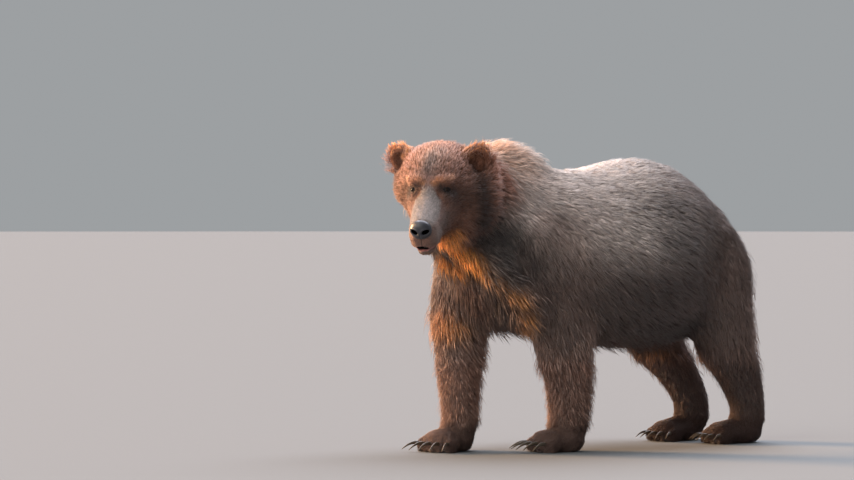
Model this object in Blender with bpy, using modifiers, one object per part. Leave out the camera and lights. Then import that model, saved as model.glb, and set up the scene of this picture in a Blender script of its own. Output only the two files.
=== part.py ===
# A grizzly bear, life size, standing in mid stride with its head turned to its left.
# It is modelled whole, out to the tips of the coat, and then parted by thin cuts.
# Metres, +Z up. The bear faces -Y, so its left side is +X. While it is modelled, y = 0
# is halfway between the forefeet. The last step moves the origin to the middle of the
# finished bear's footprint.
import math

import bmesh
import bpy
from mathutils import Matrix, Vector

# Driving sizes
VOXEL = 0.008  # grid of the remesh that fuses the masses
CUT = 0.0006  # width of the thin cuts between the nodes
SOCKET_GAP = 0.0004  # clearance round an eye, the nose and a claw
FLOOR = 0.006  # height at which the soles are cut flat
RING_POINTS = 28
RING_STEPS = 4  # rings between two stations of a loft
BODY_TRIANGLES = 3200

# The trunk: distance behind the forefeet, top, widest level, underside, half width
TRUNK = {
    "breast": (-0.285, 1.03, 0.88, 0.74, 0.09),
    "shoulder point": (-0.215, 1.12, 0.85, 0.635, 0.185),
    "foreribs": (-0.13, 1.19, 0.84, 0.535, 0.28),
    "withers": (0.02, 1.225, 0.83, 0.51, 0.33),
    "back of shoulder": (0.18, 1.215, 0.80, 0.49, 0.36),
    "saddle": (0.31, 1.212, 0.78, 0.47, 0.38),
    "ribs": (0.45, 1.232, 0.77, 0.45, 0.40),
    "belly": (0.58, 1.258, 0.77, 0.435, 0.415),
    "loin": (0.71, 1.262, 0.78, 0.44, 0.41),
    "flank": (0.83, 1.222, 0.80, 0.448, 0.385),
    "hips": (0.94, 1.148, 0.81, 0.49, 0.345),
    "croup": (1.035, 1.045, 0.81, 0.58, 0.285),
    "buttocks": (1.125, 0.92, 0.80, 0.69, 0.19),
}
HUMP = ((0, -0.04, 1.10), (0.17, 0.26, 0.215))
BELLY_SAG = ((0, 0.58, 0.68), (0.36, 0.33, 0.24))
# On the side the head turns to
BREAST_FOLD = ((0.125, -0.27, 0.885), 0.105, (0.205, -0.105, 0.67), 0.12)
TAIL = ((0, 1.06, 0.95), 0.055, (0, 1.16, 0.85), 0.040)
TAIL_REACH = ((0, 1.18, 0.93), 0.055, (0, 1.20, 0.84), 0.055)  # what counts as the tail

# The neck: centre, half width, reach upwards and downwards
NECK = {
    "root": ((0.0, 0.06, 0.88), 0.30, 0.27, 0.33),
    "base": ((0.015, -0.14, 0.96), 0.275, 0.31, 0.27),
    "middle": ((0.060, -0.29, 1.03), 0.232, 0.265, 0.210),
    "nape": ((0.104, -0.39, 1.085), 0.215, 0.220, 0.205),
    "poll": ((0.132, -0.46, 1.115), 0.195, 0.185, 0.185),
}

# The head in its own frame, facing -Y from the point between the ears:
# place forward, top, widest level, underside, half width
HEAD_CENTRE = (0.128, -0.482, 1.1435)
HEAD_TURN = 39  # degrees to the bear's left
HEAD_DROP = 22  # degrees below level
HEAD = {
    "neck": (0.17, 0.11, -0.03, -0.17, 0.17),
    "occiput": (0.09, 0.160, -0.01, -0.19, 0.180),
    "crown": (0.00, 0.183, 0.00, -0.190, 0.172),
    "forehead": (-0.07, 0.168, 0.01, -0.192, 0.148),
    "brow": (-0.12, 0.130, 0.00, -0.190, 0.122),
    "eyes": (-0.16, 0.074, -0.030, -0.190, 0.098),
    "stop": (-0.20, 0.036, -0.055, -0.190, 0.080),
    "muzzle": (-0.26, 0.012, -0.066, -0.190, 0.070),
    "lips": (-0.315, -0.010, -0.082, -0.190, 0.063),
    "snout": (-0.345, -0.022, -0.090, -0.176, 0.052),
    "tip": (-0.362, -0.040, -0.095, -0.150, 0.040),
}
JOWL = ((0.095, 0.06, 0.00), 0.088, (0.052, 0.04, -0.100), 0.072)
RUFF_FOLD = ((0.180, 0.065, -0.055), (0.080, 0.120, 0.140))  # on the side the head turns to
CHEEK = ((0.100, -0.005, -0.012), (0.096, 0.108, 0.104))
BROW = ((0.058, -0.108, 0.062), (0.052, 0.050, 0.044))
UPPER_LIP = ((0.034, -0.285, -0.112), (0.035, 0.064, 0.048))
CHIN = ((0, -0.290, -0.168), (0.043, 0.056, 0.034))
EAR = ((0.163, 0.045, 0.081), (0.062, 0.036, 0.076))
EAR_SCOOP = ((0.165, 0.004, 0.087), (0.040, 0.028, 0.051))
EAR_REACH = ((0.190, 0.045, 0.110), (0.085, 0.075, 0.100))  # what counts as the ear
EAR_TURN = 18  # degrees outwards
EAR_TILT = 22  # degrees to the side
MOUTH_CORNER = (-0.205, -0.158)  # place forward and level
MOUTH_FRONT = (-0.42, -0.134, -0.156)  # place forward, upper lip, lower lip
TONGUE = 0.030  # half width of what fills the mouth
MOUTH_DEPTH = -0.325
EYE = (0.063, -0.140, 0.030)
EYE_AXIS = (0.50, -0.84, 0.10)
EYE_RADIUS = 0.0135
EYE_STANDS_OUT = 0.0035
NOSE = ((0, -0.350, -0.066), (0.043, 0.029, 0.042))
NOSTRIL = ((0.019, -0.376, -0.070), (0.010, 0.010, 0.010))

# The legs: height, distance from the midline, place, half width, reach forwards and back.
# A leg's place is its neutral one; its stride then carries the foot forwards or back.
FORELEG = {
    "scapula": (1.13, 0.13, -0.01, 0.08, 0.13, 0.13),
    "shoulder": (0.94, 0.195, -0.05, 0.140, 0.165, 0.19),
    "upper arm": (0.76, 0.200, -0.045, 0.140, 0.160, 0.205),
    "elbow": (0.60, 0.200, -0.025, 0.130, 0.160, 0.175),
    "forearm": (0.46, 0.178, -0.010, 0.115, 0.138, 0.130),
    "cannon": (0.32, 0.152, 0.000, 0.098, 0.105, 0.100),
    "wrist": (0.17, 0.145, 0.005, 0.088, 0.088, 0.086),
    "heel": (0.07, 0.145, 0.000, 0.082, 0.085, 0.070),
}
HIND_LEG = {
    "haunch": (1.06, 0.140, 0.880, 0.120, 0.150, 0.120),
    "rump": (0.96, 0.188, 0.885, 0.150, 0.210, 0.155),
    "thigh": (0.82, 0.215, 0.895, 0.162, 0.240, 0.205),
    "low thigh": (0.67, 0.230, 0.895, 0.145, 0.205, 0.190),
    "knee": (0.53, 0.222, 0.920, 0.132, 0.180, 0.165),
    "shank": (0.40, 0.190, 0.985, 0.120, 0.155, 0.128),
    "low shank": (0.28, 0.158, 1.070, 0.100, 0.118, 0.094),
    "hock": (0.17, 0.145, 1.125, 0.084, 0.095, 0.074),
    "heel": (0.07, 0.145, 1.120, 0.076, 0.090, 0.058),
}
SWING_TOP = 0.95  # above this a stride moves nothing
SWING_END = 0.30  # below this it moves the whole foot
FORE_STRIDE = {"left": 0.19, "right": -0.170}
HIND_STRIDE = {"left": 0.09, "right": 0.015}
FORE_BULK = {"left": 1.0, "right": 0.91}  # the leg that bears the weight is fuller
SIDES = {"left": 1, "right": -1}

# The paws: distance from the midline, place, length, width, turn inwards in degrees
FOREPAW = (0.145, -0.055, 0.25, 0.20, 12)
HIND_PAW = (0.145, 1.037, 0.30, 0.175, 6)
# Claws: length past the toe, drop, root radius
FORE_CLAW = (0.064, 0.026, 0.0110)
HIND_CLAW = (0.040, 0.020, 0.0095)
CLAW_POINTS = 6
CLAW_RINGS = 4

# Where the nodes part: the head's reach in its own frame, as places forward and levels round it,
# and the heights of the cuts across the legs
HEAD_REACH = ((-0.60, 0.36), (0.215, 0.36), (-0.06, -0.275), (-0.20, -0.225), (-0.60, -0.225))
ANKLE = 0.125
KNEE = 0.40


def blended(rows, steps):
    """The rows with Catmull-Rom rows between them, so that a loft through them is smooth."""
    padded = [rows[0], *rows, rows[-1]]
    out = []
    for a, b, c, d in zip(padded, padded[1:], padded[2:], padded[3:]):
        for step in range(steps):
            t = step / steps
            out.append([
                0.5 * (2 * q + (r - p) * t + (2 * p - 5 * q + 4 * r - s) * t**2
                       + (3 * q - p - 3 * r + s) * t**3)
                for p, q, r, s in zip(a, b, c, d)
            ])
    out.append(list(rows[-1]))
    return out


def mirrored(point, side):
    return Vector((side * point[0], *point[1:]))


def loft(bm, rings):
    """A closed skin over rings of points, each ring with the same number of points."""
    loops = [[bm.verts.new(point) for point in ring] for ring in rings]
    count = len(loops[0])
    for near, far in zip(loops, loops[1:]):
        for i in range(count):
            j = (i + 1) % count
            bm.faces.new((near[i], near[j], far[j], far[i]))
    bm.faces.new(list(reversed(loops[0])))
    bm.faces.new(loops[-1])


def egg_ring(centre, side, up, half_width, above, below):
    """An egg-shaped ring: its upper and lower halves reach differently from its widest level."""
    ring = []
    for i in range(RING_POINTS):
        angle = 2 * math.pi * i / RING_POINTS
        reach = above if math.sin(angle) > 0 else below
        ring.append(centre + side * (half_width * math.cos(angle)) + up * (reach * math.sin(angle)))
    return ring


def level_rings(table):
    """Upright rings across the body, from rows of place, top, widest level, underside, half width."""
    across, upright = Vector((1, 0, 0)), Vector((0, 0, 1))
    return [
        egg_ring(Vector((0, y, wide)), across, upright, half, top - wide, wide - low)
        for y, top, wide, low, half in blended(list(table.values()), RING_STEPS)
    ]


def ball(bm, centre, radii, turn=None, subdivisions=3):
    """An ellipsoid, such as a muscle's mass."""
    place = Matrix.Translation(centre) @ (turn or Matrix()) @ Matrix.Diagonal((*radii, 1))
    bmesh.ops.create_icosphere(bm, subdivisions=subdivisions, radius=1, matrix=place)


def block(bm, low, high):
    """A box between two corners."""
    low, high = Vector(low), Vector(high)
    size = Matrix.Diagonal((*(high - low), 1))
    bmesh.ops.create_cube(bm, size=1, matrix=Matrix.Translation((low + high) / 2) @ size)


def join(bm, other, matrix=None):
    """Adds another bmesh to bm, moved by the matrix, and frees it."""
    bmesh.ops.transform(other, matrix=matrix or Matrix(), verts=other.verts[:])
    mesh = bpy.data.meshes.new("piece")
    other.to_mesh(mesh)
    other.free()
    bm.from_mesh(mesh)
    bpy.data.meshes.remove(mesh)


def limb(bm, start, start_radius, end, end_radius):
    """A tapered round mass between two points, as the hull of a ball at each."""
    piece = bmesh.new()
    for centre, radius in ((start, start_radius), (end, end_radius)):
        bmesh.ops.create_icosphere(
            piece, subdivisions=2, radius=radius, matrix=Matrix.Translation(centre)
        )
    bmesh.ops.delete(piece, geom=piece.faces[:], context="FACES_ONLY")
    hull = bmesh.ops.convex_hull(piece, input=piece.verts[:])
    spare = hull["geom_interior"] + hull["geom_unused"]
    loose = {v for v in spare if isinstance(v, bmesh.types.BMVert)}
    bmesh.ops.delete(piece, geom=list(loose), context="VERTS")
    join(bm, piece)


def swing(z):
    """How much of its stride a leg has at this height, from 0 to 1."""
    return min(max((SWING_TOP - z) / (SWING_TOP - SWING_END), 0), 1)


def head_matrix():
    turn = Matrix.Rotation(math.radians(HEAD_TURN), 4, "Z")
    drop = Matrix.Rotation(math.radians(HEAD_DROP), 4, "X")
    return Matrix.Translation(HEAD_CENTRE) @ turn @ drop


def ear_turn(side):
    out = Matrix.Rotation(math.radians(side * EAR_TURN), 4, "Z")
    return out @ Matrix.Rotation(math.radians(side * EAR_TILT), 4, "Y")


def add_trunk(bm):
    loft(bm, level_rings(TRUNK))
    ball(bm, *HUMP)
    ball(bm, *BELLY_SAG)
    limb(bm, *BREAST_FOLD)
    limb(bm, *TAIL)


def add_neck(bm):
    rows = blended([(*c, half, up, down) for c, half, up, down in NECK.values()], RING_STEPS)
    centres = [Vector(row[:3]) for row in rows]
    rings = []
    for i, (centre, row) in enumerate(zip(centres, rows)):
        along = centres[min(i + 1, len(rows) - 1)] - centres[max(i - 1, 0)]
        side = Vector((0, 0, 1)).cross(along).normalized()
        rings.append(egg_ring(centre, side, along.cross(side).normalized(), *row[3:]))
    loft(bm, rings)


def add_head(bm):
    head = bmesh.new()
    loft(head, level_rings(HEAD))
    ball(head, *CHIN)
    ball(head, *RUFF_FOLD)
    for side in SIDES.values():
        for centre, radii in (CHEEK, BROW, UPPER_LIP):
            ball(head, mirrored(centre, side), radii)
        start, start_radius, end, end_radius = JOWL
        limb(head, mirrored(start, side), start_radius, mirrored(end, side), end_radius)
        ball(head, mirrored(EAR[0], side), EAR[1], ear_turn(side))
    join(bm, head, head_matrix())


def add_leg(bm, table, side, stride, bulk=1.0):
    rings = []
    for z, x, y, *reaches in blended(list(table.values()), RING_STEPS):
        half, front, back = (bulk * reach for reach in reaches)
        centre = Vector((side * x, y + stride * swing(z), z))
        rings.append(egg_ring(centre, Vector((1, 0, 0)), Vector((0, 1, 0)), half, back, front))
    loft(bm, rings)


def paw_matrix(sizes, side, stride):
    across, place, _, _, toe_in = sizes
    turn = Matrix.Rotation(math.radians(-side * toe_in), 4, "Z")
    return Matrix.Translation((side * across, place + stride, 0)) @ turn


def toes(sizes):
    """Each toe's centre, in the paw's own frame."""
    _, _, length, width, _ = sizes
    for i in range(5):
        across = (i - 2) / 2
        yield Vector((across * width * 0.39, 0.03 - length * (0.47 - 0.07 * across * across), 0.036))


def add_paw(bm, sizes, side, stride):
    """The paw's pad and its five toes."""
    _, _, length, width, _ = sizes
    paw = bmesh.new()
    ball(paw, (0, 0.02, 0.055), (width * 0.46, length * 0.42, 0.062))
    ball(paw, (0, -length * 0.18, 0.05), (width * 0.48, length * 0.26, 0.056))
    for toe in toes(sizes):
        ball(paw, toe, (width * 0.115, 0.046, 0.038))
    join(bm, paw, paw_matrix(sizes, side, stride))


def as_object(name, bm):
    """The bmesh as an object, its faces turned outwards."""
    bmesh.ops.recalc_face_normals(bm, faces=bm.faces[:])
    mesh = bpy.data.meshes.new(name)
    bm.to_mesh(mesh)
    bm.free()
    obj = bpy.data.objects.new(name, mesh)
    bpy.context.scene.collection.objects.link(obj)
    return obj


def bake(obj):
    """Applies the object's modifiers to its mesh."""
    graph = bpy.context.evaluated_depsgraph_get()
    mesh = bpy.data.meshes.new_from_object(obj.evaluated_get(graph))
    obj.modifiers.clear()
    obj.data = mesh


def drop_slivers(obj):
    """Keeps only the largest connected piece, so that no sliver of a cut stays behind."""
    bm = bmesh.new()
    bm.from_mesh(obj.data)
    left = set(bm.faces)
    pieces = []
    while left:
        start = left.pop()
        piece, edge_of_piece = {start}, [start]
        while edge_of_piece:
            face = edge_of_piece.pop()
            near = {other for edge in face.edges for other in edge.link_faces} & left
            left -= near
            piece |= near
            edge_of_piece.extend(near)
        pieces.append(piece)
    pieces.sort(key=lambda piece: sum(face.calc_area() for face in piece))
    for piece in pieces[:-1]:
        bmesh.ops.delete(bm, geom=list(piece), context="FACES")
    bm.to_mesh(obj.data)
    bm.free()


def carve(obj, cutter, operation):
    """Applies an exact Boolean to the object and removes the cutter."""
    boolean = obj.modifiers.new(operation, "BOOLEAN")
    boolean.operation = operation
    boolean.solver = "EXACT"
    boolean.object = cutter
    bake(obj)
    drop_slivers(obj)
    bpy.data.objects.remove(cutter)


def part_off(obj, name, shape, gap=CUT):
    """Moves what lies inside a shape to an object of its own. shape(grow) returns a bmesh."""
    piece = obj.copy()
    piece.name = name
    bpy.context.scene.collection.objects.link(piece)
    carve(piece, as_object("inside", shape(0)), "INTERSECT")
    carve(obj, as_object("outside", shape(gap)), "DIFFERENCE")
    return piece


def weighted(obj, name, weight):
    """A vertex group holding weight(point) at each vertex."""
    group = obj.vertex_groups.new(name=name)
    for vertex in obj.data.vertices:
        group.add([vertex.index], weight(vertex.co), "REPLACE")
    return group.name


def whole_bear():
    """The bear as one closed body, its masses fused and smoothed into each other."""
    bm = bmesh.new()
    add_trunk(bm)
    add_neck(bm)
    add_head(bm)
    for name, side in SIDES.items():
        add_leg(bm, FORELEG, side, FORE_STRIDE[name], FORE_BULK[name])
        add_leg(bm, HIND_LEG, side, HIND_STRIDE[name])
        add_paw(bm, FOREPAW, side, FORE_STRIDE[name])
        add_paw(bm, HIND_PAW, side, HIND_STRIDE[name])
    bear = as_object("bear", bm)
    fuse = bear.modifiers.new("fuse", "REMESH")
    fuse.mode = "VOXEL"
    fuse.voxel_size = VOXEL
    bake(bear)
    to_head = head_matrix().inverted()

    def on_ear(point):
        at = to_head @ point
        return at.z > 0.01 and abs(at.x) > 0.13 and abs(at.y - EAR[0][1]) < 0.09

    def on_face(point):
        at = to_head @ point
        return at.y < 0.02 and abs(at.x) < 0.26 and abs(at.z) < 0.26

    def flesh(point):
        if on_ear(point) or on_paw(point):
            return 0.0
        return min(max((0.16 + (to_head @ point).y) / 0.18, 0.0), 1.0) if on_face(point) else 1.0

    def on_paw(point):
        return point.z < 0.16

    soft = weighted(bear, "soft", lambda p: float(not (on_ear(p) or on_paw(p))))
    fleshy = weighted(bear, "fleshy", flesh)
    for group, rounds in ((soft, 14), (fleshy, 60), ("", 5)):
        smooth = bear.modifiers.new("smooth", "SMOOTH")
        smooth.factor = 0.5
        smooth.iterations = rounds
        smooth.vertex_group = group
    bake(bear)
    # Fewer triangles, with the face, the ears and the paws kept finer
    fine = weighted(bear, "fine", lambda p: 0.3 if on_ear(p) or on_face(p) else 1.0)
    fewer = bear.modifiers.new("fewer", "DECIMATE")
    bear.data.calc_loop_triangles()
    fewer.ratio = BODY_TRIANGLES / len(bear.data.loop_triangles)
    fewer.vertex_group = fine
    fewer.vertex_group_factor = 0.0004
    bake(bear)
    bear.vertex_groups.clear()
    above = bmesh.new()
    block(above, (-1, -2, FLOOR), (1, 2, 2))
    carve(bear, as_object("above", above), "INTERSECT")
    return bear


def in_head(make):
    """A shape that make(bm, grow) draws in the head's frame."""
    def shape(grow):
        bm = bmesh.new()
        make(bm, grow)
        bmesh.ops.transform(bm, matrix=head_matrix(), verts=bm.verts[:])
        return bm
    return shape


def grown(radii, grow):
    return tuple(radius + grow for radius in radii)


def wedge(bm, outline, left, right):
    """A prism across the head, from an outline of places forward and levels."""
    sides = [[bm.verts.new((x, y, z)) for y, z in outline] for x in (left, right)]
    bm.faces.new(sides[0])
    bm.faces.new(list(reversed(sides[1])))
    for i in range(len(outline)):
        j = (i + 1) % len(outline)
        bm.faces.new((sides[0][j], sides[0][i], sides[1][i], sides[1][j]))


def part_head(bear):
    """The head with its ears, jaw, eyes and nose as nodes of their own."""
    def reach(bm, grow):
        wedge(bm, [(place + grow, level - grow) for place, level in HEAD_REACH], -0.32, 0.32)

    corner, level = MOUTH_CORNER
    front, upper, lower = MOUTH_FRONT

    def below_mouth(bm, grow):
        back = corner + grow
        top = level + grow
        wedge(bm, [(front, upper + grow), (back, top), (back, -0.32), (front, -0.32)], -0.2, 0.2)

    def lips_gap(bm, left, right, back):
        part = (back - front) / (corner - front)
        top, bottom = (lip + part * (level - lip) for lip in (upper, lower))
        outline = [(front, upper + CUT), (back, top + CUT), (back, bottom), (front, lower)]
        wedge(bm, outline, left, right)

    nodes = {}
    head = part_off(bear, "head", in_head(reach))
    for name, side in SIDES.items():
        turn = ear_turn(side)
        ear = part_off(head, "ear_" + name, in_head(
            lambda bm, grow: ball(bm, mirrored(EAR_REACH[0], side), grown(EAR_REACH[1], grow), turn, 2)
        ))
        scoop = in_head(lambda bm, grow: ball(bm, mirrored(EAR_SCOOP[0], side), EAR_SCOOP[1], turn, 2))
        carve(ear, as_object("scoop", scoop(0)), "DIFFERENCE")
        nodes[ear.name] = ear
        axis = (head_matrix().to_3x3() @ mirrored(EYE_AXIS, side)).normalized()
        start = head_matrix() @ mirrored(EYE, side) + axis * 0.15
        hit, point, _, _ = head.ray_cast(start, -axis)
        centre = point - axis * (EYE_RADIUS - EYE_STANDS_OUT)
        socket = bmesh.new()
        ball(socket, centre, grown((EYE_RADIUS,) * 3, SOCKET_GAP), None, 2)
        carve(head, as_object("socket", socket), "DIFFERENCE")
        eye = bmesh.new()
        ball(eye, centre, (EYE_RADIUS,) * 3, None, 2)
        nodes["eye_" + name] = as_object("eye_" + name, eye)
    jaw = part_off(head, "jaw", in_head(below_mouth))
    # The lips part, and the tongue fills the mouth behind them
    gaps = ((-0.2, -TONGUE, corner), (TONGUE, 0.2, corner), (-0.19, 0.19, MOUTH_DEPTH))
    for left, right, back in gaps:
        gap = in_head(lambda bm, grow: lips_gap(bm, left, right, back))
        carve(jaw, as_object("gap", gap(0)), "DIFFERENCE")
    nodes["jaw"] = jaw
    nose = in_head(lambda bm, grow: ball(bm, NOSE[0], grown(NOSE[1], grow)))
    carve(head, as_object("seat", nose(SOCKET_GAP)), "DIFFERENCE")
    nodes["nose"] = as_object("nose", nose(0))
    nostrils = bmesh.new()
    for side in SIDES.values():
        ball(nostrils, mirrored(NOSTRIL[0], side), NOSTRIL[1], None, 1)
    bmesh.ops.transform(nostrils, matrix=head_matrix(), verts=nostrils.verts[:])
    carve(nodes["nose"], as_object("nostrils", nostrils), "DIFFERENCE")
    nodes["head"] = head
    return nodes


def claw(root, heading, sizes, grow):
    """A claw curving down from inside its toe, as a tapered loft."""
    length, drop, radius = sizes
    side = Vector((0, 0, 1)).cross(heading).normalized()
    rings = []
    for i in range(CLAW_RINGS):
        t = i / (CLAW_RINGS - 1)
        rise = 0.010 * math.sin(math.pi * t) - drop * t * t
        centre = root + heading * ((length + 0.03) * t) + Vector((0, 0, rise))
        taper = radius * (1 - 0.80 * t**1.3) + grow
        ring = []
        for j in range(CLAW_POINTS):
            angle = 2 * math.pi * j / CLAW_POINTS
            across = side * (taper * 0.75 * math.cos(angle))
            ring.append(centre + across + Vector((0, 0, taper * math.sin(angle))))
        rings.append(ring)
    bm = bmesh.new()
    loft(bm, rings)
    return bm


def part_paw(bear, name, sizes, claw_sizes, side, stride):
    """A paw and its five claws, each claw seated in its toe."""
    nodes = {}
    x, y = side * sizes[0], sizes[1] + stride

    def foot(grow):
        bm = bmesh.new()
        block(bm, (x - 0.137, y - 0.30, -0.1), (x + 0.137, y + 0.25, ANKLE + grow))
        return bm

    paw = part_off(bear, name + "_paw", foot)
    matrix = paw_matrix(sizes, side, stride)
    sockets = bmesh.new()
    for i, toe in enumerate(toes(sizes)):
        heading = (matrix.to_3x3() @ Vector((toe.x * 1.6, -0.30, 0))).normalized()
        root = matrix @ (toe + Vector((0, -0.020, 0.006)))
        join(sockets, claw(root, heading, claw_sizes, SOCKET_GAP))
        toe_name = f"{name}_claw_{i + 1}"
        nodes[toe_name] = as_object(toe_name, claw(root, heading, claw_sizes, 0))
    carve(paw, as_object("sockets", sockets), "DIFFERENCE")
    nodes[paw.name] = paw
    return nodes


def part_legs(bear):
    """Each leg as an upper part, a lower part and a paw."""
    nodes = {}
    for name, side in SIDES.items():
        fore, hind = FORE_STRIDE[name], HIND_STRIDE[name]
        legs = (
            ("foreleg_" + name, FOREPAW, FORE_CLAW, fore,
             (0.25, -0.04 + fore * 0.1, 0.86), 0.19, (0.19, -0.01 + fore * 0.7, 0.47), 0.178),
            ("hind_leg_" + name, HIND_PAW, HIND_CLAW, hind,
             (0.245, 0.905, 0.80), 0.20, (0.205, 1.0 + hind * 0.75, 0.47), 0.185),
        )
        for leg, sizes, claw_sizes, stride, top, top_radius, knee, knee_radius in legs:
            nodes.update(part_paw(bear, leg, sizes, claw_sizes, side, stride))

            def lower(grow):
                bm = bmesh.new()
                near, far = sorted((side * 0.005, side * 0.36))
                block(bm, (near, knee[1] - 0.24, 0), (far, knee[1] + 0.30, KNEE + grow))
                return bm

            def upper(grow):
                bm = bmesh.new()
                limb(bm, mirrored(top, side), top_radius + grow, mirrored(knee, side), knee_radius + grow)
                return bm

            nodes[leg + "_lower"] = part_off(bear, leg + "_lower", lower)
            nodes[leg + "_upper"] = part_off(bear, leg + "_upper", upper)
    return nodes


def part_body(bear):
    """The neck, the tail and the trunk."""
    def neck(grow):
        bm = bmesh.new()
        lean = Matrix.Translation((0, -0.20 + grow, 1.0)) @ Matrix.Rotation(math.radians(-28), 4, "X")
        block(bm, (-0.5, -0.6, -0.6), (0.5, 0, 0.6))
        bmesh.ops.transform(bm, matrix=lean, verts=bm.verts[:])
        return bm

    def tail(grow):
        bm = bmesh.new()
        start, start_radius, end, end_radius = TAIL_REACH
        limb(bm, start, start_radius + grow, end, end_radius + grow)
        return bm

    bear.name = "trunk"
    return {
        "neck": part_off(bear, "neck", neck),
        "tail": part_off(bear, "tail", tail),
        "trunk": bear,
    }


def centre_on_floor(nodes):
    """Moves the origin to the middle of the bear's footprint, on the floor."""
    points = [vertex.co for obj in nodes.values() for vertex in obj.data.vertices]
    low = [min(point[axis] for point in points) for axis in range(3)]
    high = [max(point[axis] for point in points) for axis in range(3)]
    move = Matrix.Translation((-(low[0] + high[0]) / 2, -(low[1] + high[1]) / 2, -low[2]))
    for obj in nodes.values():
        obj.data.transform(move)
    return move


# Finishes: colour and roughness
FINISHES = {
    "fur_brown": ((0.115, 0.062, 0.034), 0.9),
    "fur_grizzled": ((0.215, 0.150, 0.105), 0.9),
    "nose_leather": ((0.030, 0.027, 0.027), 0.45),
    "claw_horn": ((0.105, 0.082, 0.062), 0.45),
    "eye_dark": ((0.035, 0.018, 0.010), 0.08),
}


def finish_of(name):
    if "claw" in name:
        return "claw_horn"
    if name.startswith("eye"):
        return "eye_dark"
    if name == "nose":
        return "nose_leather"
    return "fur_grizzled" if name in ("trunk",) else "fur_brown"


def paint(nodes):
    """Gives each node a material of its own."""
    for name, obj in nodes.items():
        colour, roughness = FINISHES[finish_of(name)]
        material = bpy.data.materials.new(name)
        material.use_nodes = True
        shader = material.node_tree.nodes["Principled BSDF"]
        shader.inputs["Base Color"].default_value = (*colour, 1)
        shader.inputs["Roughness"].default_value = roughness
        obj.data.materials.clear()
        obj.data.materials.append(material)


def build():
    for obj in list(bpy.data.objects):
        bpy.data.objects.remove(obj)
    bear = whole_bear()
    nodes = part_head(bear)
    nodes.update(part_legs(bear))
    nodes.update(part_body(bear))
    centre_on_floor(nodes)
    paint(nodes)


if __name__ == "__main__":
    build()
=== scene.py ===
# A grizzly bear, life size, as a still model: its skin, coat, eyes, nose, mouth and claws.
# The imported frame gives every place. The bear faces -Y, its left side is +X, and it stands on z = 0.
import math

import bmesh
import bpy
import numpy as np
from mathutils import Matrix, Vector, kdtree, noise


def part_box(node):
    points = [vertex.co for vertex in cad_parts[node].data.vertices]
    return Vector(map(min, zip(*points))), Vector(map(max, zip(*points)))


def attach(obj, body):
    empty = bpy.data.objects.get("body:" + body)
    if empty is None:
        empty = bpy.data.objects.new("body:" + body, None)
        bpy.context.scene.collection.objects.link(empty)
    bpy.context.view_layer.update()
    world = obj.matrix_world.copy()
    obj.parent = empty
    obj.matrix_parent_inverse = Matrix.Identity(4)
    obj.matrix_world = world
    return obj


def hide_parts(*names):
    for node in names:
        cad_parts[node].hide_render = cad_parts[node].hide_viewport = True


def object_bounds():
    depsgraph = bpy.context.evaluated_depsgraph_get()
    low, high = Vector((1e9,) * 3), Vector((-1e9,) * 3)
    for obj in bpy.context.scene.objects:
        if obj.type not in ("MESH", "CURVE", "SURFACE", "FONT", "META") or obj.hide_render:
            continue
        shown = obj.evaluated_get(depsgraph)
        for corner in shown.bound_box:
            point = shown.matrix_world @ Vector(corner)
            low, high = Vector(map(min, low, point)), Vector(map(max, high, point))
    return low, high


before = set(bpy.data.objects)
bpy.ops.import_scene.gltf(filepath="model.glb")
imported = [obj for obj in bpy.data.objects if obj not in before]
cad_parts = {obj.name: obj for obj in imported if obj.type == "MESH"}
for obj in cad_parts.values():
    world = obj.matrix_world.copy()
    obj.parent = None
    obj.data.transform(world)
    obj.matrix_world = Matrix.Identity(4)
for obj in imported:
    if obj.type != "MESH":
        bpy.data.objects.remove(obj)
cadLow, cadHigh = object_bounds()
sides = {"left": 1, "right": -1}
print("frame loaded:", len(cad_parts), "nodes")


def centreOf(node):
    low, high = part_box(node)
    return (low + high) / 2


def inBox(node, across, back, up):
    # a place given as shares of a node's box
    low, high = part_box(node)
    size = high - low
    return low + Vector((across * size.x, back * size.y, up * size.z))


head = {"turn": 39, "drop": 22, "eyesAhead": 0.153, "eyesUp": 0.0315}


def headFrame():
    # the head's own axes: it faces its -Y from the point between the ears
    sideways = Matrix.Rotation(math.radians(head["turn"]), 4, "Z")
    turn = sideways @ Matrix.Rotation(math.radians(head["drop"]), 4, "X")
    eyes = (centreOf("eye_left") + centreOf("eye_right")) / 2
    return Matrix.Translation(eyes - turn @ Vector((0, -head["eyesAhead"], head["eyesUp"]))) @ turn


toWorld = headFrame()
toHead = toWorld.inverted()
headTurn = np.array(toWorld)[:3, :3]


def onHead(x, y, z):
    return toWorld @ Vector((x, y, z))


def moved(points, matrix):
    m = np.array(matrix)
    return points @ m[:3, :3].T + m[:3, 3]


def onOneSide(points):
    # the points in the head's own axes, with both sides laid on one
    at = moved(points, toHead)
    at[:, 0] = np.abs(at[:, 0])
    return at


view = {
    "azimuth": 52, "distance": 16, "height": 1.034, "sensor": 36, "lens": 158.5, "farthest": 400,
    "behindPaws": 0.0455, "side": 0.362, "drop": 0.136,
}


def placeCamera():
    turn = math.radians(view["azimuth"])
    back = Vector((math.sin(turn), -math.cos(turn), 0))
    right = Vector((math.cos(turn), math.sin(turn), 0))
    paws = (centreOf("foreleg_left_paw") + centreOf("foreleg_right_paw")) / 2
    stand = Vector((0, paws.y + view["behindPaws"], view["height"]))
    data = bpy.data.cameras.new("camera")
    data.sensor_width = view["sensor"]
    data.lens = view["lens"]
    data.clip_end = view["farthest"]
    camera = newObject("camera", data)
    camera.location = stand + back * view["distance"]
    aim = stand - right * view["side"] - Vector((0, 0, view["drop"]))
    camera.rotation_mode = "QUATERNION"
    camera.rotation_quaternion = (aim - camera.location).to_track_quat("-Z", "Y")
    bpy.context.scene.camera = camera
    return back, right


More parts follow.
